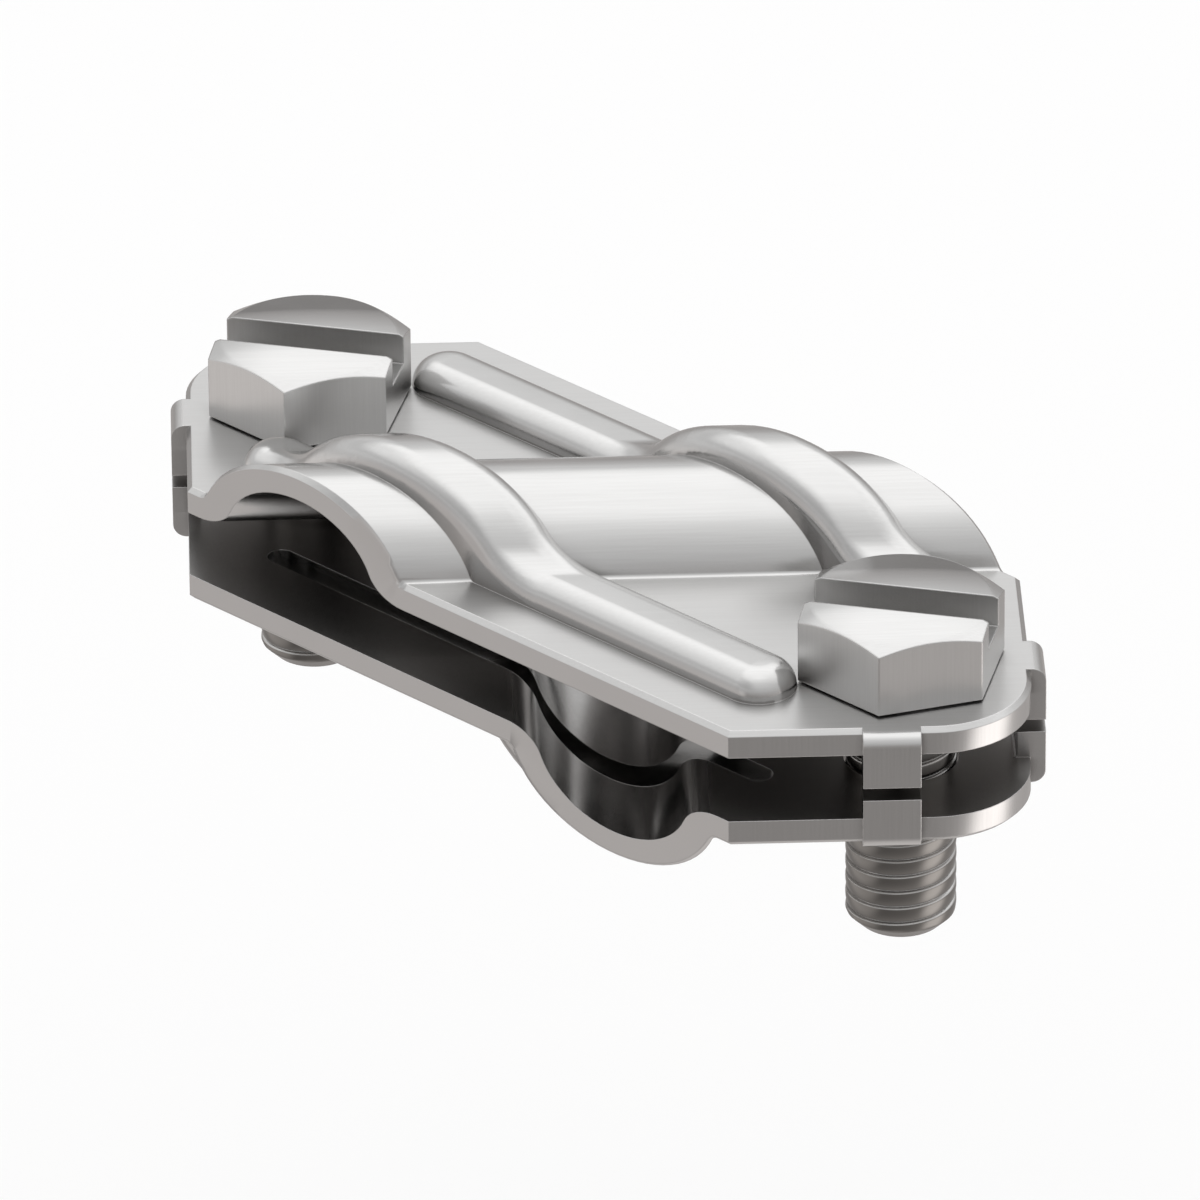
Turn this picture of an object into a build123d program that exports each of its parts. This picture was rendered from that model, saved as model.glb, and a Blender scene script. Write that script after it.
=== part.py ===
"""Cross clamp block: two pressed sheet halves that two screws draw together around two crossing rods.

The origin is the centre of the block, midway between the two halves. +Z is up, towards the screw
heads. The upper half holds a rod along X, the lower half one along Y. Each half is one pressing: a
diagonal strip of sheet with a half-round channel across it, two raised beads that run along the strip
and climb over the channel, and four tabs folded at the corners, which stop the halves from tilting.
All sizes are in millimetres.
"""

import math
import os

from build123d import *

# Rod, sheet, and the gap between the flats of the two halves as they stand.
rod_diameter = 10.0
rod_clearance = 0.05
sheet_thickness = 2.0
flat_gap = 5.0

# Outline of a half: a square whose two opposite corners are cut off along the diagonal strip, and
# whose other two corners, at the screws, are rounded. The square is as large as the strip and the
# channel need, with a little flat left between the channel's foot and the strip's corners.
strip_width = 30.0
channel_side_flat = 1.03
corner_radius = 7.0
rim_chamfer = 0.35
channel_foot_radius = 0.35

# Folded tabs. Their outer faces stand a little outside the plate's edges.
tab_width = 4.0
tab_corner_distance = 8.0
tab_standout = 1.1
tab_bend_radius = 1.0
tab_inner_radius = 0.3
tab_gap = 0.95

# Screws: M8 with a slotted hexagon head. The thread's own turns are left out.
screw_diameter = 8.0
screw_length = 20.0
screw_end_chamfer = 0.9
screw_edge_distance = 8.9
thread_clearance = 0.05
screw_hole_clearance = 0.5
head_across_flats = 13.0
head_height = 5.3
head_chamfer_angle = 28.0
head_chamfer_circle = 12.7
washer_face_diameter = 11.6
washer_face_height = 0.35
slot_width = 3.4
slot_depth = 2.35
slot_angle = -14.8

# Raised beads, measured from the strip's middle line, and the groove pressed in under each one.
# They end where the turning screw heads just pass them.
bead_offset = 8.7
bead_width = 5.3
bead_height = 2.0
bead_head_clearance = 0.08
bead_shoulder_radius = 1.9
bead_climb_radius = 3.0
groove_width = 2.0
groove_depth = 1.9

inner_z = flat_gap / 2
outer_z = inner_z + sheet_thickness
channel_radius = rod_diameter / 2 + rod_clearance
crest_radius = channel_radius + sheet_thickness
channel_foot = math.sqrt(crest_radius**2 - sheet_thickness**2)
half_side = strip_width / math.sqrt(2) + channel_foot + channel_side_flat
square_side = 2 * half_side
reach = 2 * square_side
screw_position = half_side - screw_edge_distance

head_corner_radius = head_across_flats / math.sqrt(3)
bead_end_distance = head_corner_radius + bead_head_clearance + bead_width / 2
bead_centre_length = 2 * (screw_position * math.sqrt(2) - math.sqrt(bead_end_distance**2 - bead_offset**2))


def skin_solid(flat_z, hump_radius, foot_radius):
    """Everything from mid-plane up to a skin: a flat at flat_z and a half-round hump along X."""
    flat = Rectangle(reach, flat_z, align=(Align.CENTER, Align.MIN))
    profile = flat + Pos(0, inner_z) * Circle(hump_radius)
    feet = [v for v in profile.vertices() if abs(v.Y - flat_z) < 1e-3 and abs(v.X) < half_side]
    profile = fillet(feet, foot_radius)
    return extrude(Plane.YZ * profile, amount=reach / 2, both=True)


def plate():
    """The pressed plate without beads: the outer skin cut to the outline, with its upper rim broken."""
    square = Rectangle(square_side, square_side)
    screw_corners = [v for v in square.vertices() if v.X * v.Y < 0]
    strip = Rot(0, 0, -45) * Rectangle(reach, strip_width)
    outline = fillet(screw_corners, corner_radius) & strip
    blank = skin_solid(outer_z, crest_radius, channel_foot_radius) & extrude(outline, square_side)
    sides = [face for face in blank.faces() if abs(face.normal_at().Z) < 1e-6]
    rim = [edge for face in sides for edge in face.edges() if edge.bounding_box().min.Z > inner_z]
    return chamfer(rim, rim_chamfer)


def along_bead(side, width):
    """A stadium-shaped prism on one bead's line."""
    line = Pos(0, side * bead_offset) * SlotCenterToCenter(bead_centre_length, width)
    return extrude(Rot(0, 0, -45) * line, square_side)


def bead(side):
    """A raised bead: the outer skin lifted inside a stadium, with large round shoulders."""
    lifted = skin_solid(outer_z + bead_height, crest_radius + bead_height, bead_climb_radius)
    blank = lifted & along_bead(side, bead_width)
    shoulders = [edge for edge in blank.edges() if edge.bounding_box().min.Z > outer_z]
    return fillet(shoulders, bead_shoulder_radius)


def groove(side):
    """The hollow that pressing a bead leaves in the underside of the sheet."""
    climb_radius = bead_climb_radius + sheet_thickness
    lifted = skin_solid(inner_z + groove_depth, channel_radius + groove_depth, climb_radius)
    return lifted & along_bead(side, groove_width)


def tab(turn, along):
    """A tab folded down over the edge that faces +X, moved along that edge, then turned about Z."""
    outer = half_side + tab_standout
    inner = outer - sheet_thickness
    root = inner - sheet_thickness
    lip = tab_gap / 2
    corners = [
        (root, inner_z),
        (inner, inner_z),
        (inner, lip),
        (outer, lip),
        (outer, outer_z),
        (root, outer_z),
    ]
    profile = make_face(Polyline(*corners, close=True))
    profile = fillet(profile.vertices().sort_by_distance((outer, outer_z))[0], tab_bend_radius)
    profile = fillet(profile.vertices().sort_by_distance((inner, inner_z))[0], tab_inner_radius)
    return Rot(0, 0, turn) * Pos(0, along, 0) * extrude(Plane.XZ * profile, tab_width / 2, both=True)


def clamp_half(hole_radius):
    """The upper half: plate and beads, hollowed from below, with its screw holes and tabs."""
    half = plate() + bead(-1) + bead(1)
    half -= skin_solid(inner_z, channel_radius, channel_foot_radius + sheet_thickness)
    half -= groove(-1)
    half -= groove(1)
    for side in (-1, 1):
        centre = Pos(side * screw_position, -side * screw_position, outer_z)
        half -= centre * Cylinder(hole_radius, 3 * sheet_thickness)
    tab_along = half_side - tab_corner_distance - tab_width / 2
    for turn in (0, 180):
        half += tab(turn, -tab_along)
        half += tab(turn - 90, tab_along)
    return half


def screw():
    """A screw with its head on the upper half and its slot along X."""
    hexagon = RegularPolygon(head_corner_radius, 6, rotation=30)
    head = Pos(0, 0, washer_face_height) * extrude(hexagon, head_height - washer_face_height)
    cone_height = head_across_flats
    cone_radius = head_chamfer_circle / 2 + cone_height / math.tan(math.radians(head_chamfer_angle))
    cone = Cone(cone_radius, head_chamfer_circle / 2, cone_height)
    head &= Pos(0, 0, head_height - cone_height / 2) * cone
    head -= Pos(0, 0, head_height - slot_depth / 2) * Box(reach, slot_width, slot_depth)
    head += Pos(0, 0, washer_face_height / 2) * Cylinder(washer_face_diameter / 2, washer_face_height)
    shank = Pos(0, 0, -screw_length / 2) * Cylinder(screw_diameter / 2, screw_length)
    shank = chamfer(shank.edges().group_by(Axis.Z)[0], screw_end_chamfer)
    return Pos(0, 0, outer_z) * (head + shank)


upper_clamp_half = clamp_half(screw_diameter / 2 + screw_hole_clearance)
lower_clamp_half = clamp_half(screw_diameter / 2 + thread_clearance)
lower_clamp_half = lower_clamp_half.rotate(Axis((0, 0, 0), (1, -1, 0)), 180)
turned_screw = Rot(0, 0, slot_angle) * screw()
right_clamp_screw = Pos(screw_position, -screw_position, 0) * turned_screw
left_clamp_screw = Pos(-screw_position, screw_position, 0) * turned_screw

os.makedirs("parts", exist_ok=True)
export_step(upper_clamp_half, "parts/upper_clamp_half.step")
export_step(lower_clamp_half, "parts/lower_clamp_half.step")
export_step(left_clamp_screw, "parts/left_clamp_screw.step")
export_step(right_clamp_screw, "parts/right_clamp_screw.step")
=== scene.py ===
"""Looks of a cross clamp block: two pressed stainless halves and their two slotted screws.

All sizes are in metres. +Z is up, towards the screw heads.
"""

import math

import bpy
from mathutils import Matrix, Vector


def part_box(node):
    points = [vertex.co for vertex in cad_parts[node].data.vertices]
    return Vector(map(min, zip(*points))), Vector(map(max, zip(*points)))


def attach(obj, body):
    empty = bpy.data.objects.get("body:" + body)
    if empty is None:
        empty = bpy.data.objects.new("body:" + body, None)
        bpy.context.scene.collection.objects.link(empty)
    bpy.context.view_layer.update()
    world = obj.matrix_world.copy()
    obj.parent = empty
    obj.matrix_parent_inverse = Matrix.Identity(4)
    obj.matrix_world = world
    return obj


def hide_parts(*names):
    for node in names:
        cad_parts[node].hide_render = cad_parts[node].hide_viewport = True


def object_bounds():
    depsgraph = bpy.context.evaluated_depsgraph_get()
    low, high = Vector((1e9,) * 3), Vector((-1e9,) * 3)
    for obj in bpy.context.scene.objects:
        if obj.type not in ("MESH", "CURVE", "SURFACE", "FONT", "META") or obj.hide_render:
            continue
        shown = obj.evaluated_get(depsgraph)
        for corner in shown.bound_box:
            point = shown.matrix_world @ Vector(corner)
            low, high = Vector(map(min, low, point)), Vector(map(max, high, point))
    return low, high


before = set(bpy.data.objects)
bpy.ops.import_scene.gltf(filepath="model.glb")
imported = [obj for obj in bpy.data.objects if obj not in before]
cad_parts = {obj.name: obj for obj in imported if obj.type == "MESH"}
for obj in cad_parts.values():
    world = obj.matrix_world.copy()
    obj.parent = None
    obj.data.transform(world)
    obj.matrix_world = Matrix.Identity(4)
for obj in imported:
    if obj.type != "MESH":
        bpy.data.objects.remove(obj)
cad_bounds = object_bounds()


# The clamp halves: two equal pressings of 2 mm stainless sheet, cut from slit strip and pressed in
# one blow with their rod channel, beads and tabs. The faces keep a fine satin grain, rougher on the
# flats. Slit edges are painted darker, partly for their duller sheared finish and partly as painted
# shade, and shade is painted dark at the beads' feet and in the gap.

steel_colour = (0.60, 0.597, 0.592)
dull_steel_colour = (0.582, 0.578, 0.573)
slit_edge_shade_colour = (0.445, 0.441, 0.437)
crease_shade_colour = (0.12, 0.11, 0.102)
gap_shade_colour = (0.25, 0.24, 0.234)
satin_roughness = 0.2
roughness_spread = 0.03
flat_roughness = 0.31
flat_height = 0.0046
sheet_edge_break = 0.0001
grain_length = 0.006
grain_width = 0.00012
grain_depth = 0.0000003
cloud_scale = 180.0
noise_range = (0.3, 0.7)
fold_angle = math.radians(30)
bead_offset = 0.0087
bead_half_width = 0.00265
groove_half_width = 0.00102
inner_height = 0.00252
foot_reach = 0.003
foot_shade = 0.25
foot_shade_range = (0.0005, 0.0016)
gap_reach = 0.012
inward_limit = 0.0003
weld_distance = 0.000001

# How level a face lies, from 0, upright, to 1: where its grain turns, and where it is a flat. The
# third range tells the slit edges by the product of their normal's two level parts.
grain_turn = (0.25, 0.45)
flat_lean = (0.97, 0.995)
slit_facing = (0.35, 0.45)


class Wires:
    """One node tree in few words: each call adds a node, wires its inputs and returns an output."""

    def __init__(self, tree):
        self.nodes = tree.nodes
        self.links = tree.links

    def join(self, value, socket):
        """Wires an output to a socket, or sets the socket to a plain value."""
        if isinstance(value, bpy.types.NodeSocket):
            self.links.new(value, socket)
        else:
            socket.default_value = value

    def add(self, kind, inputs=None, output=0, **settings):
        """A node with its settings, and its inputs by name or number."""
        node = self.nodes.new(kind)
        for name, value in settings.items():
            setattr(node, name, value)
        for name, value in (inputs or {}).items():
            self.join(value, node.inputs[name])
        return node.outputs[output]

    def math(self, operation, a, b=0.0):
        return self.add("ShaderNodeMath", {0: a, 1: b}, operation=operation)

    def times(self, a, b):
        return self.math("MULTIPLY", a, b)

    def plus(self, a, b):
        return self.math("ADD", a, b)

    def minus(self, a, b):
        return self.math("SUBTRACT", a, b)

    def part(self, vector, axis):
        return self.add("ShaderNodeSeparateXYZ", {0: vector}, axis)

    def vector(self, x=0.0, y=0.0, z=0.0):
        return self.add("ShaderNodeCombineXYZ", {"X": x, "Y": y, "Z": z})

    def step(self, value, low, high, bottom=0.0, top=1.0):
        """A soft step from bottom, at low, to top, at high."""
        sizes = {"Value": value, "From Min": low, "From Max": high}
        sizes.update({"To Min": bottom, "To Max": top})
        return self.add("ShaderNodeMapRange", sizes, interpolation_type="SMOOTHSTEP")

    def mix(self, mask, a, b):
        """A colour from a to b."""
        ends = {"Factor": mask, "A": a, "B": b}
        return self.add("ShaderNodeMix", ends, "Result", data_type="RGBA")

    def blend(self, socket, mask, colour):
        """Mixes a colour into what already reaches a socket, where the mask is 1."""
        self.join(self.mix(mask, socket.links[0].from_socket, (*colour, 1)), socket)


def grain_group():
    """Fine drawn grain: lines along X where a face looks up or down, and along Z on its sides."""
    group = bpy.data.node_groups.new("metal grain", "ShaderNodeTree")
    for name, size in (("Line Length", grain_length), ("Line Width", grain_width)):
        socket = group.interface.new_socket(name, in_out="INPUT", socket_type="NodeSocketFloat")
        socket.default_value = size
    group.interface.new_socket("Lines", in_out="OUTPUT", socket_type="NodeSocketFloat")
    group.interface.new_socket("Clouds", in_out="OUTPUT", socket_type="NodeSocketFloat")
    wires = Wires(group)
    given = group.nodes.new("NodeGroupInput").outputs
    result = group.nodes.new("NodeGroupOutput").inputs
    place = wires.add("ShaderNodeTexCoord", output="Object")
    lean = wires.math("ABSOLUTE", wires.part(place.node.outputs["Normal"], "Z"))
    length, width = given["Line Length"], given["Line Width"]
    lines = []
    for size in (wires.vector(width, width, length), wires.vector(length, width, width)):
        scaled = wires.add("ShaderNodeVectorMath", {0: place, 1: size}, operation="DIVIDE")
        line_sizes = {"Vector": scaled, "Scale": 1.0, "Detail": 1.5}
        lines.append(wires.add("ShaderNodeTexNoise", line_sizes))
    wanted = {"Factor": wires.step(lean, *grain_turn), "A": lines[0], "B": lines[1]}
    wires.join(wires.add("ShaderNodeMix", wanted), result["Lines"])
    cloud_sizes = {"Vector": place, "Scale": cloud_scale, "Detail": 3.0}
    clouds = wires.add("ShaderNodeTexNoise", cloud_sizes)
    wires.join(clouds, result["Clouds"])
    return group


def painted_shade_tree():
    """Where the painted shade lies: 1 where less than Dark of the near surroundings is open, 0
    where more than Clear is."""
    group = bpy.data.node_groups.new("painted shade", "ShaderNodeTree")
    for name, size in (("Reach", gap_reach), ("Dark", 0.15), ("Clear", 0.5)):
        socket = group.interface.new_socket(name, in_out="INPUT", socket_type="NodeSocketFloat")
        socket.default_value = size
    group.interface.new_socket("Painted Shade", in_out="OUTPUT", socket_type="NodeSocketFloat")
    wires = Wires(group)
    given = group.nodes.new("NodeGroupInput").outputs
    result = group.nodes.new("NodeGroupOutput").inputs
    reach = {"Distance": given["Reach"]}
    openness = wires.add("ShaderNodeAmbientOcclusion", reach, "AO", samples=8)
    wires.join(wires.step(openness, given["Dark"], given["Clear"], 1.0, 0.0), result["Painted Shade"])
    return group


metal_grain = grain_group()
painted_shade_group = painted_shade_tree()


def satin_steel(name, edge_break):
    """Satin stainless: grain in its colour, roughness and bump, and edges broken by edge_break."""
    material = bpy.data.materials.new(name)
    material.use_nodes = True
    wires = Wires(material.node_tree)
    shader = material.node_tree.nodes["Principled BSDF"].inputs
    shader["Metallic"].default_value = 1.0
    lines = wires.add("ShaderNodeGroup", output="Lines", node_tree=metal_grain)
    clouds = lines.node.outputs["Clouds"]
    shine = wires.step(lines, *noise_range)
    wires.join(wires.mix(shine, (*dull_steel_colour, 1), (*steel_colour, 1)), shader["Base Color"])
    smoothest, roughest = satin_roughness - roughness_spread, satin_roughness + roughness_spread
    rough = wires.step(clouds, *noise_range, smoothest, roughest)
    wires.join(rough, shader["Roughness"])
    broken = wires.add("ShaderNodeBevel", {"Radius": edge_break}, samples=6)
    bump = {"Strength": 1.0, "Distance": grain_depth, "Height": lines, "Normal": broken}
    wires.join(wires.add("ShaderNodeBump", bump), shader["Normal"])
    return material


def rougher(material, where, roughness):
    """Gives a material another roughness, where the mask allows it."""
    wires = Wires(material.node_tree)
    rough = material.node_tree.nodes["Principled BSDF"].inputs["Roughness"]
    both = {"Factor": where, "A": rough.links[0].from_socket, "B": roughness}
    wires.join(wires.add("ShaderNodeMix", both), rough)


def paint_shade(material, colour, where, reach, dark, clear):
    """Paints shade into a material's colour where little is open around, where the mask allows it.
    """
    wires = Wires(material.node_tree)
    sizes = {"Reach": reach, "Dark": dark, "Clear": clear}
    shade_mask = wires.add("ShaderNodeGroup", sizes, "Painted Shade", node_tree=painted_shade_group)
    shader = material.node_tree.nodes["Principled BSDF"].inputs
    wires.blend(shader["Base Color"], wires.times(shade_mask, where), colour)


def pressed_steel():
    """The sheet: darker slit edges on the diagonal, rougher flats, and shade painted into corners.
    """
    material = satin_steel("pressed stainless sheet", sheet_edge_break)
    wires = Wires(material.node_tree)
    shader = material.node_tree.nodes["Principled BSDF"].inputs
    place = wires.add("ShaderNodeTexCoord", output="Object")
    facing = place.node.outputs["Normal"]
    diagonal = wires.times(wires.part(facing, "X"), wires.part(facing, "Y"))
    # Slit edges are painted darker: partly their duller sheared finish, partly painted shade.
    wires.blend(shader["Base Color"], wires.step(diagonal, *slit_facing), slit_edge_shade_colour)
    level = wires.step(wires.math("ABSOLUTE", wires.part(facing, "Z")), *flat_lean)
    height = wires.math("ABSOLUTE", wires.part(place, "Z"))
    low = wires.math("LESS_THAN", height, flat_height)
    rougher(material, wires.times(level, low), flat_roughness)
    # Painted shade at the beads' feet: darkest close to the foot and where little of the
    # surroundings is open.
    diagonal_place = wires.plus(wires.part(place, "X"), wires.part(place, "Y"))
    across = wires.math("ABSOLUTE", diagonal_place)
    from_bead = wires.minus(wires.times(across, 1 / math.sqrt(2)), bead_offset)
    from_foot = wires.minus(wires.math("ABSOLUTE", from_bead), bead_half_width)
    near_bead = wires.step(from_foot, *foot_shade_range, foot_shade, 0.0)
    paint_shade(material, crease_shade_colour, near_bead, foot_reach, dark=0.3, clear=0.85)
    # Painted shade on the faces that look into the gap between the halves, where little is open.
    outwards = wires.times(wires.part(place, "Z"), wires.part(facing, "Z"))
    inside = wires.math("LESS_THAN", outwards, inward_limit)
    off_line = wires.math("ABSOLUTE", from_bead)
    beside_groove = wires.math("GREATER_THAN", off_line, groove_half_width)
    on_flat = wires.math("LESS_THAN", height, inner_height)
    off_groove = wires.math("MAXIMUM", beside_groove, on_flat)
    in_gap = wires.times(inside, off_groove)
    paint_shade(material, gap_shade_colour, in_gap, gap_reach, dark=0.4, clear=0.75)
    return material


sheet_steel = pressed_steel()


def smooth_tree():
    """Smooth faces, with a sharp edge wherever two of them meet at more than the fold angle."""
    tree = bpy.data.node_groups.new("smooth shading", "GeometryNodeTree")
    tree.interface.new_socket("Geometry", in_out="INPUT", socket_type="NodeSocketGeometry")
    tree.interface.new_socket("Geometry", in_out="OUTPUT", socket_type="NodeSocketGeometry")
    wires = Wires(tree)
    given = tree.nodes.new("NodeGroupInput").outputs[0]
    result = tree.nodes.new("NodeGroupOutput").inputs[0]
    faces = wires.add("GeometryNodeSetShadeSmooth", {"Geometry": given}, domain="FACE")
    angle = wires.add("GeometryNodeInputMeshEdgeAngle", output="Unsigned Angle")
    angles = {"A": angle, "B": fold_angle}
    sharp = wires.add("FunctionNodeCompare", angles, operation="GREATER_THAN")
    wanted = {"Geometry": faces, "Selection": sharp, "Shade Smooth": False}
    wires.join(wires.add("GeometryNodeSetShadeSmooth", wanted, domain="EDGE"), result)
    return tree


smooth_shading = smooth_tree()


def smooth_pressing(node):
    """Shades a half's facets as the curved sheet that they stand for, and moves no point."""
    weld = node.modifiers.new("weld", "WELD")
    weld.merge_threshold = weld_distance
    smooth = node.modifiers.new("smooth", "NODES")
    smooth.node_group = smooth_shading
    weight = node.modifiers.new("weight", "WEIGHTED_NORMAL")
    weight.keep_sharp = True
    node.data.materials.clear()
    node.data.materials.append(sheet_steel)


smooth_pressing(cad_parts["lower_clamp_half"])
smooth_pressing(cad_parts["upper_clamp_half"])


# The screws: two slotted hexagon screws M8 x 20, cold headed from stainless wire, with a rolled
# right-hand thread of 1.25 mm pitch and a washer face under the head. They pass through the upper
# half and are screwed into the lower one. Their thread is dark, painted lighter towards the head as
# painted light, and its faces that look up keep bright steel as a painted highlight.

screw_length = 0.02
thread_pitch = 0.00125
thread_core = 0.00734
thread_outer = 0.00775
crest_place = 0.65
crest_bulge = 0.00027
thread_colour = (0.225, 0.217, 0.207)
lit_end_share = 0.3
highlight_share = 0.15
steps_per_turn = 16
steps_around = 72
root_crowding = 0.75
foot_share = 0.07
shoulder_share = 0.11
spare_turns = 5
turns_below = 2.0
thread_phase = 0.5
into_head = 0.001
merge_distance = 0.000002
screw_end_chamfer = 0.0009
head_across_flats = 0.013
head_height = 0.0053
head_chamfer_angle = math.radians(28)
head_chamfer_circle = 0.0127
head_crown = math.radians(20)
cone_height = 0.01
cone_sides = 144
washer_face_diameter = 0.0116
washer_face_height = 0.00015
washer_overlap = 0.5
washer_sides = 96
slot_width = 0.0034
slot_depth = 0.00235
slot_angle = math.radians(-14.8)
slot_reach = 0.006
saw_travel = 0.05
screw_edge_break = 0.00018
plate_top = 0.0045
skin = 0.0001
sharp_angle = math.radians(25)

# How level a face lies, from 0, upright, to 1: the thread's faces that look up, kept bright as a
# painted highlight, the head's sides and top.
highlight_lean = (0.2, 0.45)
side_lean = (0.1, 0.2)
top_lean = 0.97


def solid(wires, kind, sizes, x=0.0, y=0.0, z=0.0):
    """A primitive moved to its place in a geometry tree."""
    mesh = wires.add(kind, sizes, "Mesh")
    moved = {"Geometry": mesh, "Translation": wires.vector(x, y, z)}
    return wires.add("GeometryNodeTransform", moved)


def boolean(wires, operation, a, b):
    """The exact union, difference or intersection of two meshes in a geometry tree."""
    node = wires.nodes.new("GeometryNodeMeshBoolean")
    node.operation = operation
    node.solver = "EXACT"
    wires.join(a, node.inputs[0] if operation == "DIFFERENCE" else node.inputs[1])
    wires.join(b, node.inputs[1])
    return node.outputs[0]


def thread(wires, given):
    """A sheet of points whose rows climb with the helix, closest at the root, round the axis."""
    turns = round(screw_length / thread_pitch) + spare_turns
    sheet_sizes = {
        "Vertices X": steps_around + 1,
        "Vertices Y": turns * steps_per_turn + 1,
        "Size X": 1.0,
        "Size Y": float(turns),
    }
    sheet = wires.add("GeometryNodeMeshGrid", sheet_sizes, "Mesh")
    position = wires.add("GeometryNodeInputPosition")
    around = wires.plus(wires.part(position, "X"), 0.5)
    row = wires.plus(wires.part(position, "Y"), turns / 2)
    swing = wires.math("SINE", wires.times(row, 2 * math.pi))
    climb = wires.plus(row, wires.times(swing, root_crowding / (2 * math.pi)))
    low_end = wires.times(given["Length"], -1.0)
    turns_up = wires.minus(wires.plus(climb, around), turns_below)
    run = wires.times(turns_up, given["Pitch"])
    free_height = wires.math("MAXIMUM", wires.plus(low_end, run), low_end)
    height = wires.math("MINIMUM", free_height, into_head)
    rise = wires.math("FRACT", wires.plus(climb, thread_phase))
    foot = wires.step(rise, 0.0, foot_share, 1.0, 0.0)
    hollow = wires.math("MAXIMUM", foot, wires.step(rise, 1.0 - shoulder_share, 1.0))
    depth = wires.times(wires.minus(given["Outer"], given["Core"]), 0.5)
    from_crest = wires.minus(rise, crest_place)
    sag = wires.times(wires.times(from_crest, from_crest), crest_bulge)
    crest = wires.minus(wires.times(given["Outer"], 0.5), sag)
    threaded = wires.minus(crest, wires.times(hollow, depth))
    end_radius = wires.minus(wires.times(given["Outer"], 0.5), given["End Chamfer"])
    end_cone = wires.plus(end_radius, wires.minus(height, low_end))
    chamfered = wires.math("MINIMUM", threaded, end_cone)
    first_row = wires.math("GREATER_THAN", row, 0.5 / steps_per_turn)
    last_row = wires.math("LESS_THAN", row, turns - 0.5 / steps_per_turn)
    radius = wires.times(chamfered, wires.times(first_row, last_row))
    angle = wires.times(around, 2 * math.pi)
    x = wires.times(radius, wires.math("COSINE", angle))
    y = wires.times(radius, wires.math("SINE", angle))
    wrapped = {"Geometry": sheet, "Position": wires.vector(x, y, height)}
    wrap = wires.add("GeometryNodeSetPosition", wrapped)
    return wires.add("GeometryNodeMergeByDistance", {"Geometry": wrap, "Distance": merge_distance})


def head(wires, given):
    """A hexagon cut by a flat cone, with the slot sawn across it and a washer face below."""
    hexagon_height = wires.minus(given["Head Height"], washer_face_height)
    hexagon_sizes = {
        "Vertices": 6,
        "Radius": wires.times(given["Across Flats"], 1 / math.sqrt(3)),
        "Depth": hexagon_height,
    }
    hexagon_middle = wires.plus(wires.times(hexagon_height, 0.5), washer_face_height)
    hexagon = solid(wires, "GeometryNodeMeshCylinder", hexagon_sizes, z=hexagon_middle)
    spin = {"Geometry": hexagon, "Rotation": (0, 0, math.radians(30))}
    hexagon = wires.add("GeometryNodeTransform", spin)
    cone_sizes = {
        "Vertices": cone_sides,
        "Radius Top": head_chamfer_circle / 2,
        "Radius Bottom": head_chamfer_circle / 2 + cone_height / math.tan(head_chamfer_angle),
        "Depth": cone_height,
    }
    cone_foot = wires.minus(given["Head Height"], cone_height)
    cone = solid(wires, "GeometryNodeMeshCone", cone_sizes, z=cone_foot)
    slot_height = wires.times(given["Slot Depth"], 2.0)
    slot_size = wires.vector(saw_travel, given["Slot Width"], slot_height)
    slot = solid(wires, "GeometryNodeMeshCube", {"Size": slot_size}, z=given["Head Height"])
    washer_depth = washer_face_height * (1 + washer_overlap)
    washer_sizes = {
        "Vertices": washer_sides,
        "Radius": washer_face_diameter / 2,
        "Depth": washer_depth,
    }
    washer = solid(wires, "GeometryNodeMeshCylinder", washer_sizes, z=washer_depth / 2)
    slotted = boolean(wires, "DIFFERENCE", boolean(wires, "INTERSECT", hexagon, cone), slot)
    return boolean(wires, "UNION", slotted, washer)


def screw_tree():
    """A whole screw, on the Z axis with its slot along X, turned and moved to its place."""
    tree = bpy.data.node_groups.new("slotted screw", "GeometryNodeTree")
    sizes = {
        "Pitch": thread_pitch,
        "Core": thread_core,
        "Outer": thread_outer,
        "Length": screw_length,
        "End Chamfer": screw_end_chamfer,
        "Across Flats": head_across_flats,
        "Head Height": head_height,
        "Slot Width": slot_width,
        "Slot Depth": slot_depth,
        "Turn": slot_angle,
    }
    for name, value in sizes.items():
        socket = tree.interface.new_socket(name, in_out="INPUT", socket_type="NodeSocketFloat")
        socket.default_value = value
    tree.interface.new_socket("Place", in_out="INPUT", socket_type="NodeSocketVector")
    tree.interface.new_socket("Steel", in_out="INPUT", socket_type="NodeSocketMaterial")
    tree.interface.new_socket("Screw", in_out="OUTPUT", socket_type="NodeSocketGeometry")
    wires = Wires(tree)
    given = tree.nodes.new("NodeGroupInput").outputs
    result = tree.nodes.new("NodeGroupOutput").inputs[0]
    whole = boolean(wires, "UNION", head(wires, given), thread(wires, given))
    turn = wires.vector(z=given["Turn"])
    moved = {"Geometry": whole, "Translation": given["Place"], "Rotation": turn}
    placed = wires.add("GeometryNodeTransform", moved)
    real = wires.add("GeometryNodeRealizeInstances", {0: placed})
    painted = {"Geometry": real, "Material": given["Steel"]}
    wires.join(wires.add("GeometryNodeSetMaterial", painted), result)
    return tree


slotted_screw = screw_tree()


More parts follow.
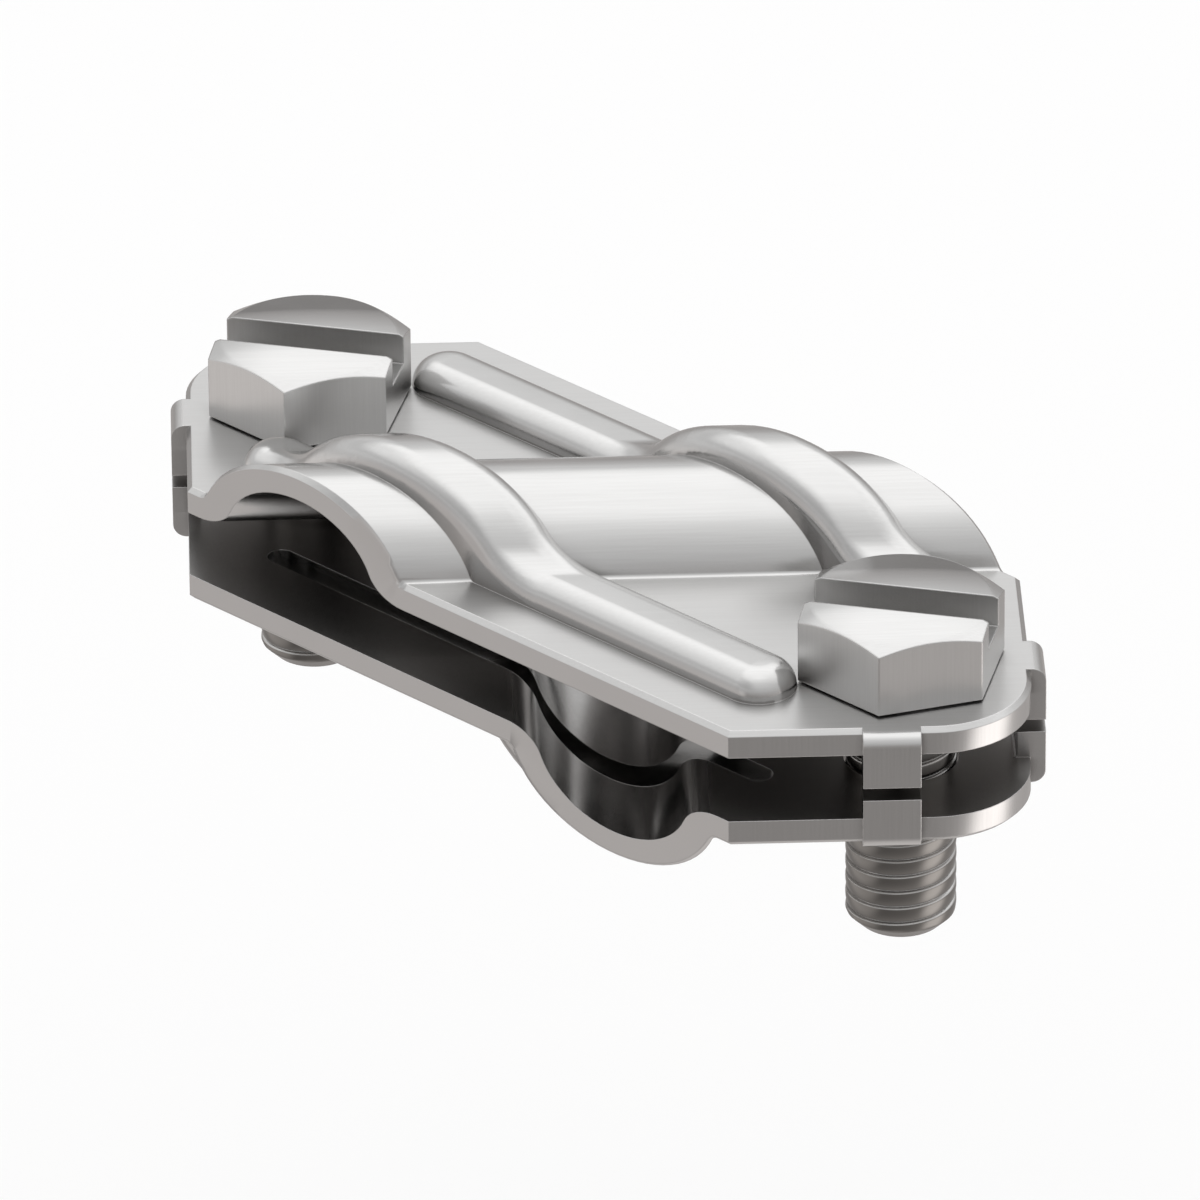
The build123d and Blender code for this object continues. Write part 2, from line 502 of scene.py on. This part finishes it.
def screw_steel(name, x, y):
    """Satin steel, dark on the thread, with normals on top that lean out like a crowned head's."""
    material = satin_steel(name, screw_edge_break)
    wires = Wires(material.node_tree)
    shader = material.node_tree.nodes["Principled BSDF"].inputs
    place = wires.add("ShaderNodeTexCoord", output="Object")
    facing = wires.part(place.node.outputs["Normal"], "Z")
    height = wires.part(place, "Z")
    # The thread's own dark colour fades out towards the head as painted light, and faces that look
    # up keep bright steel as a painted highlight.
    on_thread = wires.math("LESS_THAN", height, plate_top)
    lit_fade = wires.step(height, -plate_top, plate_top, 1.0, lit_end_share)
    off_highlights = wires.step(facing, *highlight_lean, 1.0, highlight_share)
    dark = wires.times(on_thread, wires.times(lit_fade, off_highlights))
    wires.blend(shader["Base Color"], dark, thread_colour)
    on_head = wires.math("GREATER_THAN", height, plate_top)
    upright = wires.step(wires.math("ABSOLUTE", facing), *side_lean, 1.0, 0.0)
    rougher(material, wires.times(on_head, upright), flat_roughness)
    head_top = plate_top + head_height
    # Painted shade inside the slot, where little of the surroundings is open.
    in_slot = wires.math("GREATER_THAN", height, head_top - slot_depth - skin)
    paint_shade(material, crease_shade_colour, in_slot, slot_reach, dark=0.05, clear=0.5)
    on_top = wires.math("GREATER_THAN", height, head_top - skin)
    top = wires.times(on_top, wires.math("GREATER_THAN", facing, top_lean))
    tilt = wires.times(top, math.tan(head_crown) / (head_chamfer_circle / 2))
    outwards = wires.add("ShaderNodeVectorMath", {0: place, 1: (x, y, 0)}, operation="SUBTRACT")
    leaning = {0: outwards, 1: wires.vector(tilt, tilt)}
    lean = wires.add("ShaderNodeVectorMath", leaning, operation="MULTIPLY")
    turned = wires.add(
        "ShaderNodeVectorTransform", {0: lean},
        vector_type="VECTOR", convert_from="OBJECT", convert_to="WORLD",
    )
    bump = material.node_tree.nodes["Bump"].inputs["Normal"]
    sum_of_both = {0: bump.links[0].from_socket, 1: turned}
    added = wires.add("ShaderNodeVectorMath", sum_of_both, operation="ADD")
    wires.join(wires.add("ShaderNodeVectorMath", {0: added}, operation="NORMALIZE"), bump)
    return material


def add_screw(name, node, body):
    """Runs the tree for one screw, makes its mesh plain and hangs it on its body."""
    low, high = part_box(node)
    x, y = (low.x + high.x) / 2, (low.y + high.y) / 2
    maker = bpy.data.objects.new(name + "_maker", bpy.data.meshes.new(name))
    bpy.context.scene.collection.objects.link(maker)
    run = maker.modifiers.new("screw", "NODES")
    run.node_group = slotted_screw
    ids = {}
    for item in slotted_screw.interface.items_tree:
        if item.in_out == "INPUT":
            ids[item.name] = item.identifier
    run[ids["Length"]] = plate_top - low.z
    run[ids["Place"]] = (x, y, plate_top)
    run[ids["Steel"]] = screw_steel(name + " steel", x, y)
    bpy.context.view_layer.update()
    graph = bpy.context.evaluated_depsgraph_get()
    mesh = bpy.data.meshes.new_from_object(maker.evaluated_get(graph), depsgraph=graph)
    bpy.data.objects.remove(maker)
    mesh.shade_smooth()
    mesh.set_sharp_from_angle(angle=sharp_angle)
    screw = bpy.data.objects.new(name, mesh)
    bpy.context.scene.collection.objects.link(screw)
    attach(screw, body)
    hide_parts(node)


add_screw("left_screw", "left_clamp_screw", "left_screw")
add_screw("right_screw", "right_clamp_screw", "right_screw")


# The floor and the light: a pale studio floor well below the part, an even sky that is brightest
# overhead and behind the part, and a soft low glow on the right. The steel mirrors the sky's own
# low half instead of the floor, which would come out too bright in it.

floor_drop = 0.075
floor_size = 40.0
floor_colour = (0.92, 0.92, 0.92)
floor_roughness = 0.9
brightest = 2.0

# Brightness by the height of a direction, from -1, straight down, to 1, straight up, and where
# the front's brightness turns into the back's, from -1, straight ahead, to 1, straight behind.
sky_behind = [
    (-1.0, 0.75), (-0.7, 0.55), (-0.2, 0.52), (0.0, 0.49), (0.17, 0.62),
    (0.34, 0.85), (0.48, 0.95), (0.57, 1.34), (0.64, 1.52), (1.0, 1.52),
]
sky_in_front = [
    (-1.0, 0.75), (-0.87, 0.62), (-0.7, 0.44), (-0.5, 0.35), (-0.17, 0.40), (0.0, 0.45),
    (0.34, 0.69), (0.64, 0.87), (0.87, 1.09), (0.97, 1.38), (1.0, 1.52),
]
front_to_back = (-0.6, 0.5)

# The warm tint of the low light, and the heights between which it fades.
low_tint = (1.0, 0.953, 0.928)
tint_heights = (-0.2, 0.45)

# The low glow on the right: its own direction, and its brightness by the angle from it.
glow_azimuth = math.radians(109)
glow_elevation = math.radians(-29)
side_glow = [
    (60, 0.0), (45, 0.06), (36, 0.12), (31, 0.2), (26, 0.42),
    (21, 0.82), (16, 1.15), (12, 1.38), (0, 1.45),
]

# The left: the light added low down, the share taken away half way up, and how far to the left
# and at what heights each comes in and goes out.
left_glow = 0.47
left_glow_side = (-0.6, -0.85)
left_glow_heights = (0.3, 0.0)
left_shade = 0.22
left_shade_side = (-0.15, -0.5)
left_shade_in = (0.35, 0.5)
left_shade_out = (0.75, 0.9)


def add_floor():
    """A large flat square that catches the part's shadow."""
    half = floor_size / 2
    height = cad_bounds[0][2] - floor_drop
    sides = ((-half, -half), (half, -half), (half, half), (-half, half))
    corners = [(x, y, height) for x, y in sides]
    mesh = bpy.data.meshes.new("floor")
    mesh.from_pydata(corners, [], [(0, 1, 2, 3)])
    paint = bpy.data.materials.new("pale floor")
    paint.use_nodes = True
    shader = paint.node_tree.nodes["Principled BSDF"].inputs
    shader["Base Color"].default_value = (*floor_colour, 1)
    shader["Roughness"].default_value = floor_roughness
    shader["Specular IOR Level"].default_value = 0.0
    mesh.materials.append(paint)
    floor = bpy.data.objects.new("floor", mesh)
    floor.visible_glossy = False
    bpy.context.scene.collection.objects.link(floor)


def light_curve(wires, value, stops):
    """Brightness over a value that runs from -1 to 1."""
    share = wires.add("ShaderNodeMapRange", {"Value": value, "From Min": -1.0})
    ramp = wires.add("ShaderNodeFloatCurve", {"Value": share})
    mapping = ramp.node.mapping
    while len(mapping.curves[0].points) < len(stops):
        mapping.curves[0].points.new(0.5, 0.5)
    for point, (place, light) in zip(mapping.curves[0].points, stops):
        point.location = ((place + 1) / 2, light / brightest)
    mapping.update()
    return wires.times(ramp, brightest)


def add_sky():
    """The studio that lights the part, and that the steel mirrors."""
    world = bpy.data.worlds.new("studio")
    world.use_nodes = True
    bpy.context.scene.world = world
    wires = Wires(world.node_tree)
    towards = wires.add("ShaderNodeTexCoord", output="Generated")
    right, back, up = (wires.part(towards, axis) for axis in "XYZ")
    front_light = light_curve(wires, up, sky_in_front)
    back_light = light_curve(wires, up, sky_behind)
    halves = {"Factor": wires.step(back, *front_to_back), "A": front_light, "B": back_light}
    even_sky = wires.add("ShaderNodeMix", halves)
    shade_out = wires.step(up, *left_shade_out, 1.0, 0.0)
    shaded = wires.times(wires.step(up, *left_shade_in), shade_out)
    shade = wires.times(wires.step(right, *left_shade_side, 0.0, left_shade), shaded)
    sky = wires.times(even_sky, wires.minus(1.0, shade))
    low_left = wires.step(right, *left_glow_side, 0.0, left_glow)
    left = wires.times(low_left, wires.step(up, *left_glow_heights))
    axis = (
        math.sin(glow_azimuth) * math.cos(glow_elevation),
        math.cos(glow_azimuth) * math.cos(glow_elevation),
        math.sin(glow_elevation),
    )
    pair = {0: towards, 1: axis}
    nearness = wires.add("ShaderNodeVectorMath", pair, "Value", operation="DOT_PRODUCT")
    stops = [(-1.0, 0.0)] + [(math.cos(math.radians(angle)), glow) for angle, glow in side_glow]
    light = wires.plus(wires.plus(sky, left), light_curve(wires, nearness, stops))
    tint = wires.mix(wires.step(up, *tint_heights), (*low_tint, 1), (1, 1, 1, 1))
    background = world.node_tree.nodes["Background"].inputs
    wires.join(tint, background["Color"])
    wires.join(light, background["Strength"])


add_floor()
add_sky()


# The camera: a long lens that looks down on the part from its front. It stands where the
# photograph was taken from, a little to the left and rolled by half a degree.

view_azimuth = math.radians(-1.605)
view_elevation = math.radians(29.141)
view_roll = math.radians(-0.512)
view_distance = 1.05587
aim_right = -0.000114
aim_up = -0.000862
view_lens = 450.0

towards_camera = Vector((
    math.sin(view_azimuth) * math.cos(view_elevation),
    -math.cos(view_azimuth) * math.cos(view_elevation),
    math.sin(view_elevation),
))
level_right = Vector((math.cos(view_azimuth), math.sin(view_azimuth), 0))
level_up = towards_camera.cross(level_right)
camera_right = level_right * math.cos(view_roll) + level_up * math.sin(view_roll)
camera_up = level_up * math.cos(view_roll) - level_right * math.sin(view_roll)
camera_place = towards_camera * view_distance + camera_right * aim_right + camera_up * aim_up
camera_turn = Matrix((camera_right, camera_up, towards_camera)).transposed().to_4x4()
lens = bpy.data.cameras.new("camera")
lens.sensor_width = 36.0
lens.lens = view_lens
camera = bpy.data.objects.new("camera", lens)
camera.matrix_world = Matrix.Translation(camera_place) @ camera_turn
bpy.context.scene.collection.objects.link(camera)
bpy.context.scene.camera = camera
bpy.context.scene.view_settings.view_transform = "Standard"
